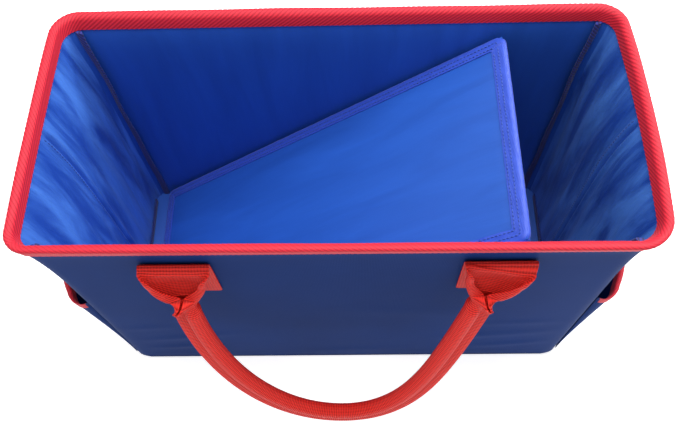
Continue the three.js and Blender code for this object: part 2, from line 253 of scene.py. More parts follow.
def slab(near, far):
    """A closed sheet between two grids of points, as (points, faces)."""
    rows, columns = near.shape[:2]
    count = rows * columns
    faces = grid_faces(rows, columns) + [face[::-1] for face in grid_faces(rows, columns, count)]
    index = np.arange(count).reshape(rows, columns)
    loop = [*index[0], *index[1:, -1], *index[-1, -2::-1], *index[-2:0:-1, 0]]
    for a, b in zip(loop, loop[1:] + loop[:1]):
        faces.append([int(b), int(a), int(a) + count, int(b) + count])
    return np.concatenate([near.reshape(-1, 3), far.reshape(-1, 3)]), faces


def add_piece(name, points, faces, flat, material, sharp=50):
    """A smooth-shaded piece from points in mm. flat is each point's place on the uncut cloth, in mm."""
    mesh = bpy.data.meshes.new(name)
    mesh.from_pydata((np.asarray(points, float).reshape(-1, 3) * MM).tolist(), [], faces)
    corner = np.zeros(len(mesh.loops), np.int32)
    mesh.loops.foreach_get("vertex_index", corner)
    layer = mesh.uv_layers.new(name="flat_cloth")
    layer.data.foreach_set("uv", np.asarray(flat, np.float32).reshape(-1, 2)[corner].ravel())
    shell = bmesh.new()
    shell.from_mesh(mesh)
    bmesh.ops.recalc_face_normals(shell, faces=shell.faces)
    shell.to_mesh(mesh)
    shell.free()
    mesh.shade_smooth()
    mesh.set_sharp_from_angle(angle=math.radians(sharp))
    mesh.materials.append(material)
    piece = bpy.data.objects.new(name, mesh)
    bpy.context.scene.collection.objects.link(piece)
    return piece


# Polyester canvas, plain woven and piece-dyed navy: a soft, matt face with slight changes of depth
# where the dye took unevenly, and painted shade darkening the gaps between the threads.
canvas = new_material("plain_woven_polyester_canvas")
CANVAS_THREAD = 1.1  # real threads lie 0.45 mm apart; drawn coarser so that the weave can show
WAVE_UNIT = 2 * math.pi / 20  # a Wave texture of scale 1 repeats after this much
canvas_flat = add_node(canvas, "ShaderNodeUVMap", {"uv_map": "flat_cloth"})
canvas_place = add_node(canvas, "ShaderNodeTexCoord")
canvas_bands = [
    add_node(
        canvas,
        "ShaderNodeTexWave",
        {"bands_direction": direction},
        {"Vector": canvas_flat.outputs[0], "Scale": WAVE_UNIT / CANVAS_THREAD, "Distortion": 0.4},
    )
    for direction in ("X", "Y")
]
canvas_weave = add_node(
    canvas,
    "ShaderNodeMath",
    {"operation": "MULTIPLY"},
    {0: canvas_bands[0].outputs["Fac"], 1: canvas_bands[1].outputs["Fac"]},
)
canvas_dye = add_node(
    canvas,
    "ShaderNodeTexNoise",
    {},
    {"Vector": canvas_place.outputs["Object"], "Scale": 9, "Detail": 6, "Roughness": 0.65},
)
canvas_depth = add_node(
    canvas,
    "ShaderNodeMix",
    {"data_type": "RGBA"},
    {0: canvas_dye.outputs["Fac"], 6: srgb("#0E2A62"), 7: srgb("#163A7E")},
)
# Painted shade: the weave darkens the colour in the gaps between the threads.
canvas_tone = add_node(
    canvas,
    "ShaderNodeMix",
    {"data_type": "RGBA", "blend_type": "MULTIPLY"},
    {0: 0.22, 6: canvas_depth.outputs[2], 7: canvas_weave.outputs[0]},
)
canvas_relief = add_node(
    canvas,
    "ShaderNodeBump",
    {},
    {"Strength": 0.25, "Distance": 0.0003, "Height": canvas_weave.outputs[0]},
)
canvas_shader = add_node(
    canvas,
    "ShaderNodeBsdfPrincipled",
    {},
    {
        "Base Color": canvas_tone.outputs[2],
        "Roughness": 0.6,
        "Specular IOR Level": 0.03,
        "Normal": canvas_relief.outputs[0],
    },
)
add_node(canvas, "ShaderNodeOutputMaterial", {}, {"Surface": canvas_shader.outputs[0]})

# Soft folds of the canvas, in mm from the wall's middle and from the floor: start, end, height, width.
CANVAS_FOLDS = {
    "front": [
        ((-205, 60), (-90, 84), 1.1, 6),
        ((-200, 36), (-120, 48), 0.9, 5),
        ((-208, 96), (-150, 104), 0.8, 5),
        ((80, 62), (206, 84), 1.1, 7),
        ((110, 104), (204, 110), 0.8, 5),
        ((120, 34), (204, 52), 1.0, 6),
        ((-60, 22), (70, 30), 0.6, 8),
        ((-20, 150), (120, 130), 0.5, 12),
    ],
    "right": [((-70, 190), (20, 250), 0.9, 8), ((60, 180), (10, 240), 0.9, 8)],
    "rear": [
        ((-204, 70), (-110, 90), 1.0, 7),
        ((100, 50), (204, 64), 1.0, 6),
        ((60, 110), (200, 96), 0.9, 8),
        ((-80, 30), (40, 24), 0.6, 8),
    ],
    "left": [((-60, 240), (-10, 180), 0.9, 8), ((70, 200), (14, 256), 0.9, 8)],
}
CANVAS_STEP = 5
FOLD_LIMIT = 2  # no fold stands off further than this
POCKET_COVER = (148, 165)  # the ends lie flat behind the pockets, up to here
END_CREASE = 1.6  # how far the ends are drawn in along the crease where the bag folds

for side in WALLS:
    half = half_length if side in ("front", "rear") else half_width
    columns = int(2 * half / CANVAS_STEP)
    rows = int(wall_top / CANVAS_STEP) + 8
    across = np.sin(np.linspace(-1, 1, columns) * QUARTER * 0.82) / math.sin(QUARTER * 0.82)
    z = wall_base + (wall_top - wall_base) * np.linspace(0, 1, rows) ** 1.25
    across, z = np.meshgrid(across, z)
    from_middle = across * half
    folds = sum(ridge(from_middle, z, *fold) for fold in CANVAS_FOLDS[side])
    if side in ("right", "left"):
        folds = folds - END_CREASE * np.exp(-((from_middle / 5) ** 2)) * smooth(40, 260, z)
        folds = folds * smooth(*POCKET_COVER, z)
    seam_roll = SEAM_ROLL * np.exp(-(((half - np.abs(from_middle)) / 2.5) ** 2))
    foot_roll = FOOT_ROLL * (1 - smooth(0, 7, z - wall_base)) ** 2
    inset = seam_roll + foot_roll - np.clip(folds, -FOLD_LIMIT, FOLD_LIMIT)
    near = sag(wall_face(side, across, z, inset))
    far = sag(wall_face(side, across, z, inset + canvas_thickness))
    points, faces = slab(near, far)
    flat = np.tile(np.stack([from_middle, z], axis=-1).reshape(-1, 2), (2, 1))
    wall = add_piece(f"{side}_canvas_wall", points, faces, flat, canvas)
    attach(wall, "bag")
    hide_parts(f"{side}_outer_panel")

# The floor panel, whose edge rolls up into the bottom seam.
FLOOR_RINGS = 14
FLOOR_POINTS = 120
FLOOR_INSET = 1.2  # its edge stops inside the walls


def floor_plate(inset, share, z):
    """A ring of the floor panel, all round: share is 1 at its edge and 0 at the middle."""
    ring = []
    for side in WALLS:
        half = half_length if side in ("front", "rear") else half_width
        across = np.linspace(-1, 1, int(FLOOR_POINTS * half / half_length / 2), endpoint=False)
        ring.append(wall_face(side, across, z, inset))
    ring = np.concatenate(ring)
    return ring * (share, share, 1)


def disc(rings):
    """A closed sheet made of rings from its middle out to its edge and back on the other side."""
    count = rings.shape[1]
    faces = []
    for r in range(len(rings) - 1):
        for i in range(count):
            a, b = r * count + i, r * count + (i + 1) % count
            faces.append([a, b, b + count, a + count])
    last = (len(rings) - 1) * count
    faces.append(list(range(count))[::-1])
    faces.append([last + i for i in range(count)])
    return rings.reshape(-1, 3), faces


floor_shares = np.linspace(0.05, 1, FLOOR_RINGS)
lower = [floor_plate(FLOOR_INSET, share, 0.0) for share in floor_shares]
upper = [floor_plate(FLOOR_INSET, share, canvas_thickness) for share in floor_shares[::-1]]
points, faces = disc(np.array(lower + upper))
floor_canvas = add_piece("floor_canvas", points, faces, points[:, :2], canvas, sharp=30)
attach(floor_canvas, "bag")
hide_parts("floor_outer_panel")


# Wall boards --------------------------------------------------------------------------------------
# Grey chipboard between canvas and lining keeps the walls up. The front and rear walls hold one
# board each, the ends two, so that the bag folds flat along the gap between them.

# Unbleached grey board: matt, with short fibres and darker specks of waste paper.
grey_board = new_material("unbleached_grey_chipboard")
board_place = add_node(grey_board, "ShaderNodeTexCoord")
board_fibres = add_node(
    grey_board,
    "ShaderNodeTexNoise",
    {},
    {"Vector": board_place.outputs["Object"], "Scale": 600, "Detail": 4},
)
board_tone = add_node(
    grey_board,
    "ShaderNodeMix",
    {"data_type": "RGBA"},
    {0: board_fibres.outputs["Fac"], 6: srgb("#8A8478"), 7: srgb("#A9A294")},
)
board_relief = add_node(
    grey_board,
    "ShaderNodeBump",
    {},
    {"Strength": 0.2, "Distance": 0.0002, "Height": board_fibres.outputs["Fac"]},
)
board_shader = add_node(
    grey_board,
    "ShaderNodeBsdfPrincipled",
    {},
    {"Base Color": board_tone.outputs[2], "Roughness": 0.95, "Normal": board_relief.outputs[0]},
)
add_node(grey_board, "ShaderNodeOutputMaterial", {}, {"Surface": board_shader.outputs[0]})

BOARD_GAP = 0.3  # air between a board's edge and the seam it stops at

for name in sorted(n for n in frame["nodes"] if "_stiffener" in n):
    side = name.split("_")[0]
    turn = WALLS.index(side) * QUARTER
    half = half_length if side in ("front", "rear") else half_width
    stand = half_width if side in ("front", "rear") else half_length
    low, high = (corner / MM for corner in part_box(name))
    run = sorted(c.x * math.cos(turn) + c.y * math.sin(turn) for c in (low, high))
    out = sorted(stand - c.x * math.sin(turn) + c.y * math.cos(turn) for c in (low, high))
    across, z = np.meshgrid(
        np.linspace(run[0] + BOARD_GAP, run[1] - BOARD_GAP, 60) / half,
        np.linspace(low.z + FOOT_ROLL, high.z, 40),
    )
    near, far = (sag(wall_face(side, across, z, inset)) for inset in out)
    points, faces = slab(near, far)
    flat = np.tile(np.stack([across * half, z], axis=-1).reshape(-1, 2), (2, 1))
    board = add_piece(name.replace("stiffener", "wall_board"), points, faces, flat, grey_board, sharp=30)
    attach(board, "bag")
    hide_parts(name)


# Linings ------------------------------------------------------------------------------------------
# Coated nylon taffeta covers the boards inside. It is cut a little full, so it lies in shallow
# upright folds, and on each end it is drawn into the fold of the bag beside a stitched line.

lining_inset = half_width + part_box("front_lining")[0].y / MM
LINING_THICKNESS = 0.6
lining_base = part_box("front_lining")[0].z / MM
CREASE_DEPTH = 2.2  # how far the lining is drawn into the fold of an end wall

# Nylon taffeta with a polyurethane coat, royal blue: smooth and slightly glossy, with a fine crinkle
# that runs up the cloth. Pale streaks up the cloth are painted sheen, a paler blue mixed into its colour
# where creases would catch the light.
TAFFETA_THREAD = 0.9  # real threads lie 0.12 mm apart; drawn coarser so that the weave can show
CRINKLE = (0.13, 0.02, 1)  # crinkles per mm across and along the cloth
SHEEN_STREAKS = (0.045, 0.007, 1)  # pale streaks per mm, the same way


def taffeta_cloth(name, crinkled, deep, bright, roughness, streaks):
    """Coated taffeta between two blues, the paler one laid on in streaks as painted sheen; crinkled is
    how deep its crinkle is, in metres, and streaks is how sharply the painted sheen streaks stand out."""
    cloth = new_material(name)
    flat = add_node(cloth, "ShaderNodeUVMap", {"uv_map": "flat_cloth"})
    weave = add_node(
        cloth,
        "ShaderNodeTexWave",
        {"bands_direction": "X"},
        {"Vector": flat.outputs[0], "Scale": WAVE_UNIT / TAFFETA_THREAD, "Distortion": 1.5},
    )
    stretch = add_node(
        cloth, "ShaderNodeVectorMath", {"operation": "MULTIPLY"}, {0: flat.outputs[0], 1: CRINKLE}
    )
    crinkle = add_node(
        cloth,
        "ShaderNodeTexNoise",
        {},
        {"Vector": stretch.outputs[0], "Scale": 1, "Detail": 5, "Roughness": 0.6, "Distortion": 0.3},
    )
    run_down = add_node(
        cloth, "ShaderNodeVectorMath", {"operation": "MULTIPLY"}, {0: flat.outputs[0], 1: SHEEN_STREAKS}
    )
    patch = add_node(
        cloth,
        "ShaderNodeTexNoise",
        {},
        {"Vector": run_down.outputs[0], "Scale": 1, "Detail": 4, "Roughness": 0.55, "Distortion": 0.6},
    )
    # Painted sheen: where this mask is high the paler blue stands in for light caught by the creases.
    painted_sheen = add_node(
        cloth,
        "ShaderNodeMapRange",
        {"interpolation_type": "SMOOTHSTEP"},
        {"Value": patch.outputs["Fac"], "From Min": 0.5 - streaks, "From Max": 0.5 + streaks},
    )
    tone = add_node(
        cloth,
        "ShaderNodeMix",
        {"data_type": "RGBA"},
        {0: painted_sheen.outputs[0], 6: srgb(deep), 7: srgb(bright)},
    )
    threads = add_node(
        cloth,
        "ShaderNodeBump",
        {},
        {"Strength": 0.06, "Distance": 0.0003, "Height": weave.outputs["Fac"]},
    )
    relief = add_node(
        cloth,
        "ShaderNodeBump",
        {},
        {
            "Strength": 1,
            "Distance": crinkled,
            "Height": crinkle.outputs["Fac"],
            "Normal": threads.outputs[0],
        },
    )
    shader = add_node(
        cloth,
        "ShaderNodeBsdfPrincipled",
        {},
        {
            "Base Color": tone.outputs[2],
            "Roughness": roughness,
            "Specular IOR Level": 0.5,
            "Sheen Weight": 0.08,
            "Sheen Roughness": 0.4,
            "Sheen Tint": srgb("#9DB8F0"),
            "Normal": relief.outputs[0],
        },
    )
    add_node(cloth, "ShaderNodeOutputMaterial", {}, {"Surface": shader.outputs[0]})
    return cloth


# Both taffetas carry painted sheen streaks; the creased one has them paler and sharper.
creased_taffeta = taffeta_cloth("creased_coated_taffeta_painted_sheen", 0.0016, "#1E48A6", "#4C82DC", 0.3, 0.16)
smooth_taffeta = taffeta_cloth("smooth_coated_taffeta_painted_sheen", 0.0003, "#1C4CA4", "#245ABA", 0.46, 0.4)

# Folds of the lining, measured like the canvas ones. Seen from inside they run the other way round.
LINING_FOLDS = {
    "front": [((-150, 30), (-130, 250), 0.7, 9), ((40, 20), (60, 240), 0.6, 12)],
    "right": [
        ((-78, -20), (-66, 300), 1.8, 9),
        ((-50, -10), (-40, 290), 1.6, 8),
        ((-28, -10), (-14, 290), 1.6, 7),
        ((22, 290), (30, -20), 1.8, 8),
        ((46, 290), (56, -10), 1.6, 9),
        ((72, -20), (76, 290), 1.4, 8),
    ],
    "rear": [
        ((-186, 20), (-178, 250), 0.9, 8),
        ((-150, 60), (-120, 260), 0.6, 14),
        ((-40, 40), (-60, 250), 0.5, 18),
        ((70, 30), (86, 256), 0.6, 14),
        ((150, 30), (166, 262), 0.9, 9),
        ((180, 10), (186, 250), 0.8, 6),
    ],
    "left": [
        ((-82, -20), (-74, 290), 1.8, 7),
        ((-66, -10), (-52, 290), 2.2, 7),
        ((-44, -20), (-32, 290), 2.2, 7),
        ((-26, -10), (-10, 280), 2.0, 6),
        ((12, 290), (26, -20), 2.2, 6),
        ((34, 290), (46, -10), 2.2, 7),
        ((56, 290), (64, -20), 2.2, 7),
        ((74, 280), (80, -10), 1.8, 7),
    ],
}
LINING_STEP = 3
rim_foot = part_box("rim_binding")[0].z / MM
RIM_PRESS = (rim_foot + 3, rim_foot - 14)  # the rim binding presses the folds flat over this height
CREASE_BANK = 1.6  # how far the lining swells on either side of the fold
LINING_FOLD_LIMIT = 3  # no fold stands off further than this

for side in WALLS:
    half = half_length if side in ("front", "rear") else half_width
    columns = int(2 * half / LINING_STEP)
    rows = int((wall_top - lining_base) / LINING_STEP / 1.5)
    across = np.linspace(-1, 1, columns)
    if side in ("right", "left"):
        across = np.unique(np.concatenate([across, np.linspace(-9, 9, 37) / half]))
    across, z = np.meshgrid(across, np.linspace(lining_base, wall_top, rows))
    from_middle = across * half
    folds = sum(ridge(from_middle, z, *fold) for fold in LINING_FOLDS[side])
    folds = np.clip(folds, 0, LINING_FOLD_LIMIT)
    folds = folds * smooth(0, 12, half - np.abs(from_middle))
    if side in ("right", "left"):
        folds = folds * (1 - np.exp(-((from_middle / 6) ** 2)))
        folds = folds + CREASE_BANK * np.exp(-(((np.abs(from_middle) - 4) / 2.2) ** 2))
        folds = folds - CREASE_DEPTH * np.exp(-((from_middle / 1.3) ** 2))
    folds = folds * smooth(*RIM_PRESS, z)
    inset = lining_inset + folds
    points, faces = slab(
        sag(wall_face(side, across, z, inset)),
        sag(wall_face(side, across, z, inset + LINING_THICKNESS)),
    )
    flat = np.tile(np.stack([from_middle, z], axis=-1).reshape(-1, 2), (2, 1))
    cloth = smooth_taffeta if side in ("front", "rear") else creased_taffeta
    lining = add_piece(f"{side}_lining_cloth", points, faces, flat, cloth)
    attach(lining, "bag")
    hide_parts(f"{side}_lining")

floor_lining_low, floor_lining_high = (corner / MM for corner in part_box("floor_lining"))
lower = [floor_plate(lining_inset, share, floor_lining_low.z) for share in floor_shares]
upper = [floor_plate(lining_inset, share, floor_lining_high.z) for share in floor_shares[::-1]]
points, faces = disc(np.array(lower + upper))
floor_cloth = add_piece("floor_lining_cloth", points, faces, points[:, :2], smooth_taffeta, sharp=30)
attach(floor_cloth, "bag")
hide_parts("floor_lining")


def stitch_row(path, lift, pitch, length, girth):
    """A row of thread stitches along a path, as (points, faces). lift is the way each one stands
    off the cloth; every stitch is a short arched capsule."""
    path, lift = np.asarray(path, float), np.asarray(lift, float)
    steps = np.linalg.norm(np.diff(path, axis=0), axis=1)
    travelled = np.concatenate([[0], np.cumsum(steps)])
    count = int((travelled[-1] - length) / pitch)
    stations, sides = np.array([-1, -0.75, -0.3, 0.3, 0.75, 1]), 6
    thick = np.array([0.35, 0.8, 1, 1, 0.8, 0.35]) * girth / 2
    arch = np.array([0, 0.25, 0.5, 0.5, 0.25, 0]) * girth
    points, faces = [], []
    for k in range(count):
        at = (k + 0.5) * pitch + stations * length / 2
        centre = np.stack([np.interp(at, travelled, path[:, i]) for i in range(3)], axis=1)
        up = np.stack([np.interp(at, travelled, lift[:, i]) for i in range(3)], axis=1)
        up /= np.linalg.norm(up, axis=1)[:, None]
        forward = centre[-1] - centre[0]
        aside = np.cross(forward / np.linalg.norm(forward), up)
        first = len(points) * sides
        for s in range(len(stations)):
            ring = np.arange(sides) * 2 * math.pi / sides
            offset = np.outer(np.cos(ring), aside[s]) + np.outer(np.sin(ring), up[s])
            points.append(centre[s] + up[s] * arch[s] + offset * thick[s])
        for s in range(len(stations) - 1):
            for i in range(sides):
                a, b = first + s * sides + i, first + s * sides + (i + 1) % sides
                faces.append([a, b, b + sides, a + sides])
        last = first + (len(stations) - 1) * sides
        faces.append([first + i for i in range(sides)][::-1])
        faces.append([last + i for i in range(sides)])
    return np.concatenate(points), faces


def join_parts(parts):
    """Several (points, faces) as one."""
    points, faces, first = [], [], 0
    for part_points, part_faces in parts:
        points.append(np.asarray(part_points, float).reshape(-1, 3))
        faces.extend([[first + i for i in face] for face in part_faces])
        first += len(points[-1])
    return np.concatenate(points), faces


# Spun polyester thread, blue: a soft, slightly paler line than the cloth it is sewn into.
blue_thread = new_material("spun_polyester_thread_blue")
thread_twist = add_node(blue_thread, "ShaderNodeTexNoise", {}, {"Scale": 900, "Detail": 1})
thread_tone = add_node(
    blue_thread,
    "ShaderNodeMix",
    {"data_type": "RGBA"},
    {0: thread_twist.outputs["Fac"], 6: srgb("#16347E"), 7: srgb("#2C54AE")},
)
thread_shader = add_node(
    blue_thread,
    "ShaderNodeBsdfPrincipled",
    {},
    {"Base Color": thread_tone.outputs[2], "Roughness": 0.6, "Sheen Weight": 0.2},
)
add_node(blue_thread, "ShaderNodeOutputMaterial", {}, {"Surface": thread_shader.outputs[0]})

CREASE_STITCH_ASIDE = 4.5  # from the fold to the stitched line beside it
CREASE_STITCH = {"pitch": 4.0, "length": 2.8, "girth": 0.6}
CREASE_SWELL = 1.5  # the lining under the line stands this much off the wall
for side in ("right", "left"):
    z = np.linspace(lining_base + 12, rim_foot - 1, 120)
    aside = CREASE_STITCH_ASIDE / half_width
    swell = CREASE_SWELL * smooth(*RIM_PRESS, z)
    face = lining_inset + LINING_THICKNESS + swell
    path = sag(wall_face(side, aside, z, face))
    lift = sag(wall_face(side, aside, z, face + 1)) - path
    points, faces = stitch_row(path, lift, **CREASE_STITCH)
    stitching = add_piece(f"{side}_crease_stitching", points, faces, points[:, 1:], blue_thread)
    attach(stitching, "bag")


# Bound seams inside the bag -----------------------------------------------------------------------
# The raw edges of canvas and lining are bound together in narrow folded tape. The upright seams
# stand off the corners and lean over on the long walls; the floor seams run round the bottom.

# Folded polypropylene tape, dark indigo: matt, with the slanting ribs of a twill,
# whose hollows are painted darker as painted shade.
indigo_tape = new_material("folded_twill_tape_indigo")
TWILL_PITCH = 1.6  # real ribs lie 0.8 mm apart; drawn coarser so that they can show
indigo_flat = add_node(indigo_tape, "ShaderNodeUVMap", {"uv_map": "flat_cloth"})
indigo_ribs = add_node(
    indigo_tape,
    "ShaderNodeTexWave",
    {"bands_direction": "DIAGONAL"},
    {"Vector": indigo_flat.outputs[0], "Scale": WAVE_UNIT / TWILL_PITCH},
)
# Painted shade: the hollows between the ribs take the darker indigo.
indigo_tone = add_node(
    indigo_tape,
    "ShaderNodeMix",
    {"data_type": "RGBA"},
    {0: indigo_ribs.outputs["Fac"], 6: srgb("#0A1048"), 7: srgb("#1C2A88")},
)
indigo_relief = add_node(
    indigo_tape,
    "ShaderNodeBump",
    {},
    {"Strength": 0.5, "Distance": 0.0003, "Height": indigo_ribs.outputs["Fac"]},
)
indigo_shader = add_node(
    indigo_tape,
    "ShaderNodeBsdfPrincipled",
    {},
    {
        "Base Color": indigo_tone.outputs[2],
        "Roughness": 0.7,
        "Sheen Weight": 0.15,
        "Normal": indigo_relief.outputs[0],
    },
)
add_node(indigo_tape, "ShaderNodeOutputMaterial", {}, {"Surface": indigo_shader.outputs[0]})


def tube(rings):
    """A closed body through a row of rings with their ends capped, as (points, faces)."""
    return disc(np.asarray(rings, float))


SEAM_TAPE_WIDTH = 8
FROM_CORNER = 10.5  # from the corner seam to the middle of the tape
SEAM_TAPE_LEAN = 3.0  # how far the tape's free edge stands off the lining, up from the floor
SEAM_TAPE_HALF = 1.3  # half its thickness, once folded
SEAM_TAPE_FOOT = 0.8  # the same down by the floor, where the base board presses it
TAPE_AIR = 0.15  # between the tape's back and the lining
TAPE_SIDES = 16
lining_face = lining_inset + LINING_THICKNESS


def folded_section():
    """A folded tape's section, (across its width from -1 to 1, through its thickness from -1 to 1)."""
    angle = (np.arange(TAPE_SIDES) + 0.5) * 2 * math.pi / TAPE_SIDES
    wide = np.sign(np.cos(angle)) * np.abs(np.cos(angle)) ** 0.45
    return wide, np.sin(angle)


section_wide, section_thin = folded_section()

for name in sorted(n for n in frame["nodes"] if n.endswith("_corner_binding")):
    wall, end = name.split("_")[:2]
    toward = 1 if (wall == "front") == (end == "right") else -1
    low, high = (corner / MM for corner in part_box(name))
    rings = []
    for z in np.linspace(low.z, high.z, 70):
        wander = 0.8 * math.sin(z / 21) * math.sin(z / 47 + 1)
        place = 1 - (FROM_CORNER + wander + (SEAM_TAPE_WIDTH / 2) * section_wide) / half_length
        lean = (SEAM_TAPE_LEAN + 1.2 * math.sin(z / 33 + 2)) * smooth(30, 100, z)
        thick = SEAM_TAPE_FOOT + (SEAM_TAPE_HALF - SEAM_TAPE_FOOT) * smooth(30, 70, z)
        inset = lining_face + TAPE_AIR + thick * (1 + section_thin)
        inset = inset + lean * (1 + section_wide) / 2
        rings.append(wall_face(wall, toward * place, z, inset))
    points, faces = tube(sag(np.array(rings)))
    binding = add_piece(
        name.replace("_binding", "_seam_tape"), points, faces, points[:, [2, 0]], indigo_tape
    )
    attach(binding, "bag")
    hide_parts(name)

for name in sorted(n for n in frame["nodes"] if n.endswith("_floor_seam_binding")):
    wall = name.split("_")[0]
    low, high = (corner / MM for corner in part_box(name))
    half = half_length if wall in ("front", "rear") else half_width
    reach = max(high.x - low.x, high.y - low.y) / 2 / half
    rings = []
    for across in np.linspace(-reach, reach, 90):
        wander = 0.4 * math.sin(across * half / 17)
        z = low.z + SEAM_TAPE_WIDTH / 2 * (1 + section_wide) + wander * (1 + section_wide)
        inset = lining_face + TAPE_AIR + SEAM_TAPE_FOOT * (1 + section_thin)
        rings.append(wall_face(wall, across, z, inset))
    points, faces = tube(sag(np.array(rings)))
    run_axis = 0 if wall in ("front", "rear") else 1
    binding = add_piece(
        name.replace("_binding", "_tape"), points, faces, points[:, [run_axis, 2]], indigo_tape
    )
    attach(binding, "bag")
    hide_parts(name)


# Rim binding --------------------------------------------------------------------------------------
# One soft twill tape is folded over the raw top edge of all four walls and sewn through. It is
# puffed out by the layers inside, and runs round as a closed loop.

wall_middle = (lining_inset + LINING_THICKNESS) / 2
RIM_HALF_FOOT = 3.1  # half the binding's thickness where it is sewn down
RIM_HALF_CREST = 3.2
RIM_LINING = 0.5  # thickness of the tape itself
RIM_STEP = 1.0  # along the tape
RIM_STEPS_OVER = 58  # over the tape, from its outer foot to its inner one
RIB_ALONG = 3.9  # from one rib of the twill to the next, along the tape
RIB_OVER = 2.6  # and across it
RIB_HEIGHT = 0.2
RIM_PUFF = 0.25  # how much the tape's thickness comes and goes along the rim

# Polyester twill tape, bright red: plump slanting ribs with a soft sheen, and painted shade that darkens
# the hollows between them.
red_tape = new_material("soft_twill_tape_red")
red_rib_shade = add_node(red_tape, "ShaderNodeAttribute", {"attribute_name": "rib"})
red_nap = add_node(red_tape, "ShaderNodeTexNoise", {}, {"Scale": 700, "Detail": 3})
# Painted shade: the hollows between the ribs take the darker red.
red_tone = add_node(
    red_tape,
    "ShaderNodeMix",
    {"data_type": "RGBA"},
    {0: red_rib_shade.outputs["Fac"], 6: srgb("#A00C22"), 7: srgb("#DC2438")},
)
red_fuzz = add_node(
    red_tape,
    "ShaderNodeBump",
    {},
    {"Strength": 0.25, "Distance": 0.0003, "Height": red_nap.outputs["Fac"]},
)
red_shader = add_node(
    red_tape,
    "ShaderNodeBsdfPrincipled",
    {},
    {
        "Base Color": red_tone.outputs[2],
        "Roughness": 0.62,
        "Specular IOR Level": 0.35,
        "Sheen Weight": 0.25,
        "Sheen Roughness": 0.4,
        "Sheen Tint": srgb("#FF9AA0"),
        "Normal": red_fuzz.outputs[0],
    },
)
add_node(red_tape, "ShaderNodeOutputMaterial", {}, {"Surface": red_shader.outputs[0]})


def over_edge(way, climb, radius):
    """A tape that climbs one face, turns over an edge and goes down the other face: how far it has
    turned after a way along it, and how high it is above the start of the turn."""
    turned = np.clip((way - climb) / radius, 0, math.pi)
    below = np.clip(climb - way, 0, None) + np.clip(way - climb - math.pi * radius, 0, None)
    return turned, radius * np.sin(turned) - below


def rim_section():
    """The binding's outer face from its outer foot over to its inner one: (inset, height, inset and
    height of the way out, way along the section)."""
    crest = rim_top - RIM_HALF_CREST
    climb = crest - rim_foot
    way = np.linspace(0, 2 * climb + math.pi * RIM_HALF_CREST, RIM_STEPS_OVER)
    turned, rise = over_edge(way, climb, RIM_HALF_CREST)
    height = crest + rise
    half = RIM_HALF_FOOT + (RIM_HALF_CREST - RIM_HALF_FOOT) * smooth(rim_foot, crest, height)
    return wall_middle - half * np.cos(turned), height, -np.cos(turned), np.sin(turned), way


def set_ribs(piece, values):
    """Keeps the height of the ribs at each point, from 0 to 1, for the tape's colour:
    the hollows between them are painted darker as painted shade.
    """
    attribute = piece.data.attributes.new("rib", "FLOAT", "POINT")
    attribute.data.foreach_set("value", np.asarray(values, np.float32).ravel())


over = np.linspace(0, 1, RIM_STEPS_OVER)
inset, height, out_inset, out_height, way = rim_section()
rings, ribs, flats = [], [], []
travelled = 0.0
for side in ("rear", "left", "front", "right"):
    half = half_length if side in ("front", "rear") else half_width
    seam = half - (1 - math.pi / 4) * RIM_CORNERS[WALLS.index(side)]
    slant = 1 if side == "front" else -1
    for across in np.arange(-1, 1, RIM_STEP / seam):
        u = travelled + (across + 1) * seam
        phase = 2 * math.pi * (u / RIB_ALONG + slant * way / RIB_OVER)
        rib = 0.5 + 0.5 * np.cos(phase)
        puff = RIM_PUFF * math.sin(u / 23) * math.sin(u / 61 + 0.7)
        skin = RIB_HEIGHT * rib + puff * np.sin(math.pi * over)
        outer = wall_face(side, across, height + skin * out_height, inset + skin * out_inset)
        inner = wall_face(
            side, across, height - RIM_LINING * out_height, inset - RIM_LINING * out_inset
        )
        rings.append(np.concatenate([outer, inner[::-1]]))
        # The tape's underside gets no ribs, so it takes the darker red of the painted shade.
        ribs.append(np.concatenate([rib, 0 * rib]))
        both_ways = np.concatenate([way, way[::-1]])
        flats.append(np.stack([np.full(len(both_ways), u), both_ways], axis=1))
    travelled += 2 * seam
rings = sag(np.array(rings))
count = rings.shape[1]
index = np.arange(len(rings) * count).reshape(len(rings), count)
following = np.roll(index, -1, axis=0)
beside = np.roll(index, -1, axis=1)
beyond = np.roll(following, -1, axis=1)
faces = np.stack([index, beside, beyond, following], axis=-1).reshape(-1, 4).tolist()
rim = add_piece("rim_tape", rings.reshape(-1, 3), faces, np.array(flats).reshape(-1, 2), red_tape)
set_ribs(rim, ribs)
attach(rim, "bag")
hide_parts("rim_binding")


# End pockets --------------------------------------------------------------------------------------
# A patch pocket of the same canvas is sewn to each end at its sides and bottom. Its mouth stands
# open and is bound in the red tape.

pocket_low, pocket_high = (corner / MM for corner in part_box("right_pocket"))
pocket_bulge = pocket_high.x - pocket_low.x - canvas_thickness
POCKET_REACH = 0.97  # its side seams lie in the bag's corner seams
POCKET_AIR = 0.3  # between the end wall and the pocket where it is sewn
POCKET_SLACK = 2.6  # how far the cloth bellies out halfway up
POCKET_FOLDS = [
    ((-60, 30), (10, 60), 1.6, 7),
    ((64, 24), (0, 70), 1.5, 8),
    ((-70, 80), (-10, 96), 1.2, 7),
    ((72, 84), (14, 110), 1.2, 7),
]


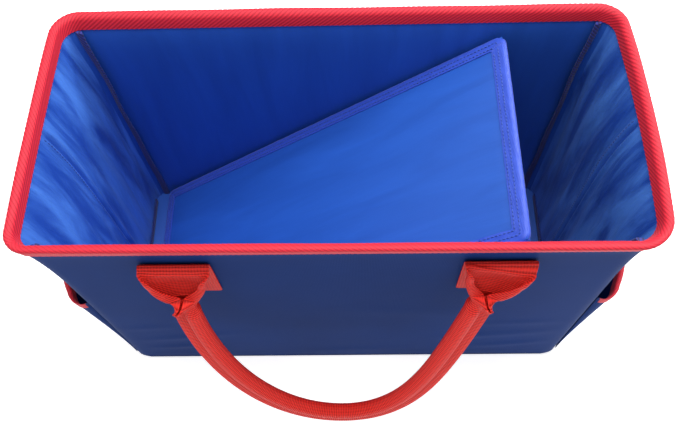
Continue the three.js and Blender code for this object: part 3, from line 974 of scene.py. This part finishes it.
def pocket_face(side, share, z, stand_off):
    """Points of a pocket, in mm: share is -1 and 1 at its side seams, and stand_off is how far a
    layer lies outside the pocket's inner face."""
    share, z, stand_off = np.broadcast_arrays(*(np.asarray(v, float) for v in (share, z, stand_off)))
    rise = (z - pocket_low.z) / (pocket_high.z - pocket_low.z)
    open_share = np.sqrt(np.clip(1 - share**2, 0, 1))
    swell = pocket_bulge * np.clip(rise, 0, 1.1) ** 1.5 * open_share
    folds = sum(ridge(share * half_width, z, *fold) for fold in POCKET_FOLDS) * (1 - share**2)
    slack = POCKET_SLACK * np.sin(math.pi * np.clip(rise, 0, 1)) * open_share
    out = POCKET_AIR + swell + (folds + slack) * smooth(1, 0.8, rise) + stand_off
    return wall_face(side, share * POCKET_REACH, z, -out)


POCKET_HALF_TAPE = 2.2  # half the thickness of the bound mouth
POCKET_TAPE_DROP = 9  # how far it comes down on either side
POCKET_TAPE_LINING = 0.6  # thickness of its tape over the top,
POCKET_TAPE_HOLLOW = 0.72  # and how far out its inner face lies, as a share of its outer one
POCKET_STEPS_OVER = 36
POCKET_TAPE_REACH = 0.97  # of the quarter turn from the mouth's middle to its side seam
POCKET_EASE = 1.2  # the mouth is this much longer than the end wall is wide

for side in ("right", "left"):
    share, z = np.meshgrid(
        np.sin(np.linspace(-QUARTER, QUARTER, 70)), np.linspace(pocket_low.z, pocket_high.z, 50)
    )
    near = sag(pocket_face(side, share, z, 0))
    far = sag(pocket_face(side, share, z, canvas_thickness))
    points, faces = slab(near, far)
    flat = np.tile(np.stack([share * half_width, z], axis=-1).reshape(-1, 2), (2, 1))
    pocket = add_piece(f"{side}_canvas_pocket", points, faces, flat, canvas)
    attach(pocket, "bag")
    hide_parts(f"{side}_pocket")

    climb = POCKET_TAPE_DROP - POCKET_HALF_TAPE
    way = np.linspace(0, 2 * climb + math.pi * POCKET_HALF_TAPE, POCKET_STEPS_OVER)
    round_turn, rise = over_edge(way, climb, POCKET_HALF_TAPE)
    height = pocket_high.z + 0.5 - POCKET_HALF_TAPE + rise
    both_ways = np.concatenate([way, way[::-1]])
    rings, ribs, flats = [], [], []
    for bearing in np.linspace(-QUARTER, QUARTER, 190) * POCKET_TAPE_REACH:
        share = math.sin(bearing)
        thin = 0.35 + 0.65 * smooth(1, 0.86, abs(share))
        u = POCKET_EASE * share * half_width
        rib = 0.5 + 0.5 * np.cos(2 * math.pi * (u / RIB_ALONG + way / RIB_OVER))
        away = POCKET_HALF_TAPE * thin * np.cos(round_turn)
        skin = RIB_HEIGHT * rib * np.cos(round_turn)
        middle = canvas_thickness / 2
        outer = pocket_face(side, share, height, middle + away + skin)
        inner_height = height - POCKET_TAPE_LINING * np.sin(round_turn)
        inner = pocket_face(side, share, inner_height, middle + away * POCKET_TAPE_HOLLOW)
        rings.append(np.concatenate([outer, inner[::-1]]))
        ribs.append(np.concatenate([rib, 0 * rib]))
        flats.append(np.stack([np.full(len(both_ways), u), both_ways], axis=1))
    points, faces = tube(sag(np.array(rings)))
    flat = np.array(flats).reshape(-1, 2)
    mouth_tape = add_piece(f"{side}_pocket_tape", points, faces, flat, red_tape)
    set_ribs(mouth_tape, ribs)
    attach(mouth_tape, "bag")
    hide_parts(f"{side}_pocket_binding")


# Carrying handles ---------------------------------------------------------------------------------
# Each handle is one length of heavy polypropylene webbing. Its ends are sewn flat to the wall, fold
# over outwards, and close like a flattened C; along the grip it is rolled round a foam cord with
# its two edges sewn together, and the sewn edge turns to the outside of the loop.

swing = {joint["child"]: joint for joint in frame["joints"]}
fold_y = -swing["front_handle"]["pos_m"][1] / MM  # from the middle of the bag to the fold line
fold_z = swing["front_handle"]["pos_m"][2] / MM
tab_low, tab_high = (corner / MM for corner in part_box("front_handle_left_tab"))
tab_middle = (tab_low.x + tab_high.x) / 2
tab_y = -(tab_low.y + tab_high.y) / 2
webbing_half = (tab_high.x - tab_low.x) / 2
webbing_thickness = tab_high.y - tab_low.y
spread = -tab_middle

LEAN = math.radians(20.7)  # the loop's lean away from upright
DROP = 187  # from the fold line to the middle of the grip
CURL_RADIUS = 1.9  # of the webbing's edges where they turn over
CLOSED_HALF = 8.5  # half width where the two turned edges meet
CLOSING_EASE = 2.2  # the width holds at first and then closes quickly
OPEN_END = 8.0  # along the strip from the fold: full width up to here,
TURN_FROM = 31.0  # starting to turn outwards here,
CLOSED_FROM = 38.0  # closed from here,
ROLL_FROM = 32.0  # rolling up from here,
ROLLED_FROM = 45.0  # rolled round the core from here,
TURNED_FROM = 50.0  # and with the sewn edge outside from here
DISH = math.radians(38)  # how far the open part is dished, on each side of its middle
FLAP_TURN = math.radians(165)  # how far the edges turn over
EDGE_TUCK = 1.5  # the open part is this much narrower than the tab, on each side
SINK = 5.0  # how far the open part is pushed back towards the wall, at most
EDGE_THINNING = 0.45  # the share of its thickness that the selvedge loses,
SELVEDGE = 1.6  # over this width
FLARE_STRETCH = 0.15  # the soft webbing spreads this much where it lies open
LIP = 2.4  # how far it bulges out just below the fold
SEWN_EDGE = 5.2  # width of the two edges that are sewn together
TUBE_TURN = math.radians(158)  # how far each half goes round the cord before its edge turns out
EDGE_GAP = 0.35  # air between the two faces of the sewn edge
CORD_AIR = 0.4  # and between the webbing and the cord
ROW_STEP = 1.4  # along the loop,
FOLD_ROWS = 12  # with this many rows of points round each fold
TAB_ROWS = 30  # and this many up each tab
SECTION_STEPS = 30  # from the middle of the webbing to one edge

edge_pitch = webbing_thickness + EDGE_GAP
return_turn = TUBE_TURN - QUARTER
tube_radius = (webbing_half - SEWN_EDGE + return_turn * edge_pitch) / (TUBE_TURN + return_turn)
return_radius = tube_radius - edge_pitch
rolled_depth = (
    tube_radius * (1 - math.cos(TUBE_TURN)) + return_radius * math.sin(return_turn) + SEWN_EDGE
)
across_webbing = np.linspace(0, webbing_half, SECTION_STEPS + 1)


def rolled_heading():
    """Which way the webbing's section heads at each step from its middle, once it is rolled."""
    turning = np.clip(across_webbing / tube_radius, 0, TUBE_TURN)
    returning = np.clip((across_webbing - tube_radius * TUBE_TURN) / return_radius, 0, return_turn)
    return turning - returning


def tab_stand(z):
    """How far a tab's middle lies from the bag's middle at a height, on the wall that leans most."""
    front = -float(sag([-spread, -tab_y, z])[1])
    rear = float(sag([-spread, tab_y, z])[1])
    return max(front, rear)


fold_radius = (fold_y - tab_stand(tab_high.z)) / 2  # the webbing folds over this far from the wall


def roll_share(from_fold):
    """How far the webbing is rolled at a distance from the fold, from 0 to 1."""
    return smooth(ROLL_FROM, ROLLED_FROM, from_fold)


def curled_heading(half, turn, dish):
    """Which way it heads where the webbing is only dished, and its edges turn over at half."""
    start = max(half - CURL_RADIUS, 0)
    dished = dish * np.clip(across_webbing / start, 0, 1) ** 1.5
    return dished + np.clip((across_webbing - start) / CURL_RADIUS, 0, turn)


def walk(heading, stretch=1.0):
    """The section's points from its middle to one edge, as (sideways, forwards)."""
    middle_heading = (heading[1:] + heading[:-1]) / 2
    step = np.diff(across_webbing) * stretch
    side = np.concatenate([[0], np.cumsum(np.cos(middle_heading) * step)])
    forward = np.concatenate([[0], np.cumsum(np.sin(middle_heading) * step)])
    return side, forward


def half_section(from_fold):
    """The webbing's section at a distance from the fold: (sideways, forwards, heading)."""
    closing = np.clip((from_fold - OPEN_END) / (CLOSED_FROM - OPEN_END), 0, 1) ** CLOSING_EASE
    open_half = webbing_half - EDGE_TUCK
    half = open_half + (CLOSED_HALF - open_half) * closing + EDGE_TUCK * smooth(6, 0, from_fold)
    dish = DISH * smooth(1, 12, from_fold) * smooth(CLOSED_FROM + 4, CLOSED_FROM - 10, from_fold)
    turn = FLAP_TURN * smooth(-2, 9, from_fold)
    spread_out = smooth(0, 9, from_fold) * smooth(CLOSED_FROM + 4, CLOSED_FROM - 14, from_fold)
    stretch = 1 + FLARE_STRETCH * spread_out
    clearance = edge_pitch / 2
    for _ in range(50):
        side, forward = walk(curled_heading(half / stretch, turn, dish), stretch)
        if side[-1] >= clearance:
            break
        turn -= math.radians(3)
    rolled = roll_share(from_fold)
    heading = curled_heading(half / stretch, turn, dish) * (1 - rolled) + rolled_heading() * rolled
    side, forward = walk(heading, stretch)
    side = np.where(across_webbing > webbing_half / 2, np.maximum(side, clearance), side)
    room = max(from_fold * math.tan(LEAN) - 1.0, 0.0)  # behind the strap, down to its fold line
    sunk = min(0.7 * forward.max(), room, SINK)
    lip = LIP * np.exp(-(((from_fold - 3.5) / 3.0) ** 2))
    lip = lip * (1 - 0.6 * (across_webbing / webbing_half) ** 4)
    return side, forward - sunk * (1 - rolled) - rolled_depth / 2 * rolled + lip, heading


LEFT_BOW = 5  # how far the left leg bows out
RIGHT_DRAW = 12  # and the right leg draws in, halfway down


def loop_path(samples=1200):
    """The loop in its own plane from the left fold to the right one, as (x, drop, distance)."""
    phi = np.linspace(0, math.pi, samples)
    level, sink = np.cos(phi), np.sin(phi)
    left = -level * (spread + LEFT_BOW * sink)
    right = -level * spread - RIGHT_DRAW * np.sin(math.pi * sink)
    x = np.where(phi < QUARTER, left, right)
    drop = DROP * sink
    distance = np.concatenate([[0], np.cumsum(np.hypot(np.diff(x), np.diff(drop)))])
    return x, drop, distance


def webbing_rows():
    """Frames along the whole webbing, from the foot of the left tab to the foot of the right one:
    (point, sideways, forwards, distance from the fold, distance along) for a front handle."""
    x, drop, distance = loop_path()
    total = distance[-1]
    down = np.array([0, -math.sin(LEAN), -math.cos(LEAN)])
    away = np.array([0, -math.cos(LEAN), math.sin(LEAN)])
    fold_turn = math.pi - LEAN
    arc = fold_radius * fold_turn
    tab_length = tab_high.z - tab_low.z
    rows = []
    for end in (-1, 1):
        aside = np.array([float(end), 0, 0])
        tab_rows = []
        for up in np.linspace(0, tab_length, TAB_ROWS)[:-1]:
            height = tab_low.z + up
            point = np.array([end * spread, -tab_stand(height), height])
            tab_rows.append((point, aside, np.array([0, 1.0, 0]), -1.0, up - tab_length - arc))
        for turned in np.linspace(0, fold_turn, FOLD_ROWS)[:-1]:
            centre = np.array([end * spread, fold_radius - fold_y, tab_high.z])
            out = np.array([0, math.cos(turned), math.sin(turned)])
            tab_rows.append((centre + fold_radius * out, aside, out, -1.0, fold_radius * turned - arc))
        if end == 1:
            for point, sideways, out, from_fold, along in tab_rows[::-1]:
                rows.append((point, sideways, out, from_fold, total - along))
            continue
        rows += tab_rows
        for along in np.arange(0, total, ROW_STEP):
            here = np.array([np.interp(along, distance, x), -fold_y, fold_z])
            here = here + down * np.interp(along, distance, drop)
            ahead, deeper = (
                np.interp(along + 0.5, distance, run) - np.interp(along - 0.5, distance, run)
                for run in (x, drop)
            )
            tangent = np.array([ahead, 0, 0]) + down * deeper
            tangent /= np.linalg.norm(tangent)
            outwards = -np.cross(away, tangent)
            from_fold = min(along, total - along)
            turned = smooth(TURN_FROM, TURNED_FROM, from_fold) * QUARTER
            sideways = outwards * math.cos(turned) - away * math.sin(turned)
            forwards = away * math.cos(turned) + outwards * math.sin(turned)
            rows.append((here, sideways, forwards, from_fold, along))
    return rows


def webbing_run(point, sideways, forwards, side, forward):
    """One face of the webbing at one row, over its whole width."""
    half_runs = [
        [point + sideways * sign * s + forwards * f for s, f in zip(side, forward)] for sign in (1, -1)
    ]
    return half_runs[1][1:][::-1] + half_runs[0]


def webbing_mesh():
    """The front handle's webbing, as (points, faces, flat place of each point)."""
    selvedge = smooth(webbing_half - SELVEDGE, webbing_half, across_webbing)
    half_thick = webbing_thickness / 2 * (1 - EDGE_THINNING * selvedge)
    place = np.concatenate([-across_webbing[:0:-1], across_webbing])
    both = np.concatenate([place, place[::-1]])
    rings, flats = [], []
    for point, sideways, forwards, from_fold, along in webbing_rows():
        if from_fold < 0:
            side, forward, heading = across_webbing, 0 * across_webbing, 0 * across_webbing
        else:
            side, forward, heading = half_section(from_fold)
        shift = np.sin(heading) * half_thick, -np.cos(heading) * half_thick
        row = (point, sideways, forwards)
        outer = webbing_run(*row, side + shift[0], forward + shift[1])
        inner = webbing_run(*row, side - shift[0], forward - shift[1])
        rings.append(outer + inner[::-1])
        flats.append(np.stack([np.full(len(both), along), both], axis=1))
    points, faces = tube(np.array(rings))
    return points, faces, np.array(flats).reshape(-1, 2)


# Heavy polypropylene webbing, red: ribs run across it, each one a row of glossy slack filament, and the
# hollows between them are painted deep red as painted shade.
webbing = new_material("heavy_polypropylene_webbing_red")
RIB_PITCH = 1.7  # real ribs lie 1.3 mm apart; drawn a little coarser so that they can show
CORD_PITCH = 2.2  # of the warp cords that the ribs pass over
webbing_flat = add_node(webbing, "ShaderNodeUVMap", {"uv_map": "flat_cloth"})
webbing_ribs = add_node(
    webbing,
    "ShaderNodeTexWave",
    {"bands_direction": "X"},
    {"Vector": webbing_flat.outputs[0], "Scale": WAVE_UNIT / RIB_PITCH, "Distortion": 0.6, "Detail": 1},
)
webbing_cords = add_node(
    webbing,
    "ShaderNodeTexWave",
    {"bands_direction": "Y"},
    {"Vector": webbing_flat.outputs[0], "Scale": WAVE_UNIT / CORD_PITCH, "Distortion": 0.4},
)
webbing_relief_and_shade = add_node(
    webbing,
    "ShaderNodeMath",
    {"operation": "MULTIPLY_ADD"},
    {0: webbing_cords.outputs["Fac"], 1: 0.35, 2: webbing_ribs.outputs["Fac"]},
)
# Painted shade: the hollows of the ribs and cords take the deep red.
webbing_tone = add_node(
    webbing,
    "ShaderNodeMix",
    {"data_type": "RGBA"},
    {0: webbing_relief_and_shade.outputs[0], 6: srgb("#98100C"), 7: srgb("#EC2E24")},
)
webbing_relief = add_node(
    webbing,
    "ShaderNodeBump",
    {},
    {"Strength": 0.8, "Distance": 0.0005, "Height": webbing_relief_and_shade.outputs[0]},
)
webbing_shader = add_node(
    webbing,
    "ShaderNodeBsdfPrincipled",
    {},
    {
        "Base Color": webbing_tone.outputs[2],
        "Roughness": 0.55,
        "Specular IOR Level": 0.2,
        "Sheen Weight": 0.02,
        "Sheen Tint": srgb("#FF7060"),
        "Normal": webbing_relief.outputs[0],
    },
)
add_node(webbing, "ShaderNodeOutputMaterial", {}, {"Surface": webbing_shader.outputs[0]})

# Closed-cell foam cord, charcoal: dull and finely pitted.
foam = new_material("closed_cell_foam_cord")
foam_cells = add_node(foam, "ShaderNodeTexNoise", {}, {"Scale": 1500, "Detail": 2})
foam_tone = add_node(
    foam,
    "ShaderNodeMix",
    {"data_type": "RGBA"},
    {0: foam_cells.outputs["Fac"], 6: srgb("#242426"), 7: srgb("#3C3C40")},
)
foam_shader = add_node(
    foam, "ShaderNodeBsdfPrincipled", {}, {"Base Color": foam_tone.outputs[2], "Roughness": 0.9}
)
add_node(foam, "ShaderNodeOutputMaterial", {}, {"Surface": foam_shader.outputs[0]})

CORE_SIDES = 14
core_radius = tube_radius - webbing_thickness / 2 - CORD_AIR
handle_points, handle_faces, handle_flat = webbing_mesh()
core_rings = []
for point, sideways, forwards, from_fold, _along in webbing_rows():
    if from_fold >= ROLLED_FROM + 4:
        angle = np.arange(CORE_SIDES) * 2 * math.pi / CORE_SIDES
        offset = np.outer(np.cos(angle), sideways) + np.outer(np.sin(angle), forwards)
        core_rings.append(point + forwards * (tube_radius - rolled_depth / 2) + core_radius * offset)
core_points, core_faces = tube(core_rings)

for side, mirror in (("front", 1), ("rear", -1)):
    turned = (mirror, mirror, 1)
    handle = add_piece(
        f"{side}_handle_strap", handle_points * turned, handle_faces, handle_flat, webbing, sharp=60
    )
    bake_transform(handle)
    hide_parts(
        f"{side}_handle_webbing", f"{side}_handle_left_tab", f"{side}_handle_right_tab"
    )

    core = add_piece(
        f"{side}_handle_foam_cord",
        core_points * turned,
        core_faces,
        core_points[:, :2],
        foam,
    )
    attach(core, f"{side}_handle")
    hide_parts(f"{side}_handle_core")


# Base board ---------------------------------------------------------------------------------------
# A loose board covered in the lining taffeta stiffens the floor. Its edge is bound in blue tape,
# sewn with two rows. It is drawn half pulled out, resting on the left end and slanting up.

tip = swing["base_board"]
tilt = -math.radians(tip["range_deg"][0])
tip_x, tip_z = tip["pos_m"][0] / MM, tip["pos_m"][2] / MM
to_board = np.array([[math.cos(tilt), math.sin(tilt)], [-math.sin(tilt), math.cos(tilt)]])


def in_board(node):
    """Lowest and highest corners of a CAD node in the board's own frame, in mm: along, across, up."""
    points = np.array([v.co for v in frame["nodes"][node].data.vertices]) / MM
    flat = (points[:, [0, 2]] - (tip_x, tip_z)) @ to_board.T
    own = np.stack([flat[:, 0], points[:, 1], flat[:, 1]], axis=1)
    return own.min(0), own.max(0)


def from_board(points):
    """Points of the board's own frame, in mm, in the bag's frame."""
    points = np.asarray(points, float)
    flat = points[..., [0, 2]] @ to_board + (tip_x, tip_z)
    return np.stack([flat[..., 0], points[..., 1], flat[..., 1]], axis=-1)


board_low, board_high = in_board("base_board_binding")
BOARD_CORNER = 8
TAPE_OVER = 12  # how far the edge tape comes in over the board


def board_ring(inset, height, count=260):
    """A ring round the board, taken in by inset, at a height in its own frame; evenly spaced."""
    half = (board_high - board_low)[:2] / 2 - inset
    middle = (board_high + board_low)[:2] / 2
    radius = max(BOARD_CORNER - inset, 0.6)
    corners = []
    for k, (sx, sy) in enumerate(((1, 1), (-1, 1), (-1, -1), (1, -1))):
        for angle in np.linspace(k * QUARTER, (k + 1) * QUARTER, 7):
            corners.append(
                (
                    middle[0] + sx * (half[0] - radius) + radius * math.cos(angle),
                    middle[1] + sy * (half[1] - radius) + radius * math.sin(angle),
                )
            )
    corners = np.array(corners + corners[:1])
    way = np.concatenate([[0], np.cumsum(np.hypot(*np.diff(corners, axis=0).T))])
    at = np.linspace(0, way[-1], count, endpoint=False)
    ring = np.stack([np.interp(at, way, corners[:, 0]), np.interp(at, way, corners[:, 1])], axis=1)
    return np.concatenate([ring, np.full((count, 1), height)], axis=1), at


CHIPBOARD_INSET = 1.6  # from the tape's outer edge to the chipboard's faces,
CHIPBOARD_BEVEL = 0.3  # whose edges are rounded by this much
CHIPBOARD_RING = 20  # from there to the ring of points inside the edge
core_low, core_high = in_board("base_board_core")
profile = (
    (CHIPBOARD_RING, 0),
    (CHIPBOARD_INSET, 0),
    (CHIPBOARD_INSET - CHIPBOARD_BEVEL, CHIPBOARD_BEVEL),
)
board_rings = [board_ring(inset, core_low[2] + rise)[0] for inset, rise in profile]
board_rings += [board_ring(inset, core_high[2] - rise)[0] for inset, rise in profile[::-1]]
points, faces = disc(np.array(board_rings))
core_board = add_piece(
    "base_board_chipboard", from_board(points), faces, points[:, :2], grey_board, sharp=30
)
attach(core_board, "base_board")
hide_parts("base_board_core")

COVER_PUFF = 0.35  # how far the covers stand off inside the tape,
COVER_WAVES = 0.25  # and how much that comes and goes

for face_name, node in (("top", "base_board_top_cover"), ("bottom", "base_board_bottom_cover")):
    low, high = in_board(node)
    along = np.linspace(low[0] + 1, high[0] - 1, 120)
    across = np.linspace(low[1] + 1, high[1] - 1, 56)
    along, across = np.meshgrid(along, across, indexing="ij")
    from_edge = np.minimum.reduce([along - low[0], high[0] - along, across - low[1], high[1] - across])
    outward = 1 if face_name == "top" else -1
    waves = np.sin(along / 37) * np.sin(across / 29 + along / 90)
    puff = COVER_PUFF * smooth(10, 16, from_edge) + COVER_WAVES * smooth(10, 40, from_edge) * waves
    lower_face = np.stack([along, across, low[2] + outward * puff], axis=-1)
    upper_face = np.stack([along, across, high[2] + outward * puff], axis=-1)
    points, faces = slab(from_board(lower_face), from_board(upper_face))
    flat = np.tile(np.stack([across, along], axis=-1).reshape(-1, 2), (2, 1))
    cover = add_piece(f"base_board_{face_name}_cloth", points, faces, flat, smooth_taffeta)
    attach(cover, "base_board")
    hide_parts(node)

# Crumpled polyester tape, mid blue: thin enough to pucker between its two rows of stitches;
# the hollows of the puckers are painted darker as painted shade.
blue_tape = new_material("puckered_polyester_tape_blue")
blue_flat = add_node(blue_tape, "ShaderNodeUVMap", {"uv_map": "flat_cloth"})
blue_pucker = add_node(
    blue_tape,
    "ShaderNodeTexNoise",
    {},
    {"Vector": blue_flat.outputs[0], "Scale": 0.25, "Detail": 4, "Roughness": 0.6},
)
# Painted shade: the hollows of the puckers take the darker blue.
blue_tone = add_node(
    blue_tape,
    "ShaderNodeMix",
    {"data_type": "RGBA"},
    {0: blue_pucker.outputs["Fac"], 6: srgb("#1A38A4"), 7: srgb("#2F56CC")},
)
blue_relief = add_node(
    blue_tape,
    "ShaderNodeBump",
    {},
    {"Strength": 0.6, "Distance": 0.0008, "Height": blue_pucker.outputs["Fac"]},
)
blue_shader = add_node(
    blue_tape,
    "ShaderNodeBsdfPrincipled",
    {},
    {
        "Base Color": blue_tone.outputs[2],
        "Roughness": 0.5,
        "Sheen Weight": 0.15,
        "Normal": blue_relief.outputs[0],
    },
)
add_node(blue_tape, "ShaderNodeOutputMaterial", {}, {"Surface": blue_shader.outputs[0]})

# The tape's section from its inner edge underneath, round the board's edge, to its inner edge on top.
BOARD_TAPE = 0.7  # thickness of the tape
CRUMPLE = 0.224  # how far the tape puckers in and out
half_board = (board_high[2] - board_low[2]) / 2
middle_height = (board_high[2] + board_low[2]) / 2
section = []
for inset in np.linspace(TAPE_OVER, half_board, 7):
    section.append((inset, middle_height - half_board))
for angle in np.linspace(-QUARTER, QUARTER, 9)[1:-1]:
    inset = half_board - half_board * math.cos(angle)
    section.append((inset, middle_height + half_board * math.sin(angle)))
for inset in np.linspace(half_board, TAPE_OVER, 7):
    section.append((inset, middle_height + half_board))
inner_heights = (board_low[2] + BOARD_TAPE, board_high[2] - BOARD_TAPE)
inner_section = [(max(inset, 0.9), np.clip(height, *inner_heights)) for inset, height in section]
rings, flats = [], []
run = 0.0
for k, (inset, height) in enumerate(section + inner_section[::-1]):
    ring, at = board_ring(inset, height, count=520)
    rings.append(ring)
    flats.append(np.stack([at, np.full(len(at), run)], axis=1))
    run += 2
rings = np.array(rings)
along, across = rings[..., 0], rings[..., 1]
crumple = CRUMPLE * np.sin(along / 3.1 + across / 2.3) * np.sin(along / 7.7 - across / 5.1)
skin = np.arange(len(rings)) < len(section)
rings[..., 2] += np.sign(rings[..., 2] - middle_height) * crumple * skin[:, None]
points = from_board(rings)
count = rings.shape[1]
index = np.arange(points.shape[0] * count).reshape(points.shape[0], count)
faces = np.stack(
    [index, np.roll(index, -1, 1), np.roll(np.roll(index, -1, 0), -1, 1), np.roll(index, -1, 0)], axis=-1
)
board_tape = add_piece(
    "base_board_edge_tape",
    points.reshape(-1, 3),
    faces.reshape(-1, 4).tolist(),
    np.array(flats).reshape(-1, 2),
    blue_tape,
)
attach(board_tape, "base_board")
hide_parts("base_board_binding")

# The two rows of stitches that hold the tape, on the upper face.
BOARD_STITCH = {"pitch": 3.2, "length": 2.5, "girth": 0.75}
ROW_INSETS = (TAPE_OVER - 2, TAPE_OVER - 6)  # of the rows, from the board's edge
STITCH_LIFT = 0.12  # they lie this much above the flat tape
rows = []
for inset in ROW_INSETS:
    ring, _at = board_ring(inset, middle_height + half_board + STITCH_LIFT, count=520)
    path = from_board(np.concatenate([ring, ring[:1]]))
    lift = from_board([(0, 0, 1)]) - from_board([(0, 0, 0)])
    rows.append(stitch_row(path, np.repeat(lift, len(path), axis=0), **BOARD_STITCH))
points, faces = join_parts(rows)
board_stitching = add_piece("base_board_stitching", points, faces, points[:, :2], blue_thread)
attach(board_stitching, "base_board")


# Final scene update -------------------------------------------------------------------------------

bpy.context.view_layer.update()
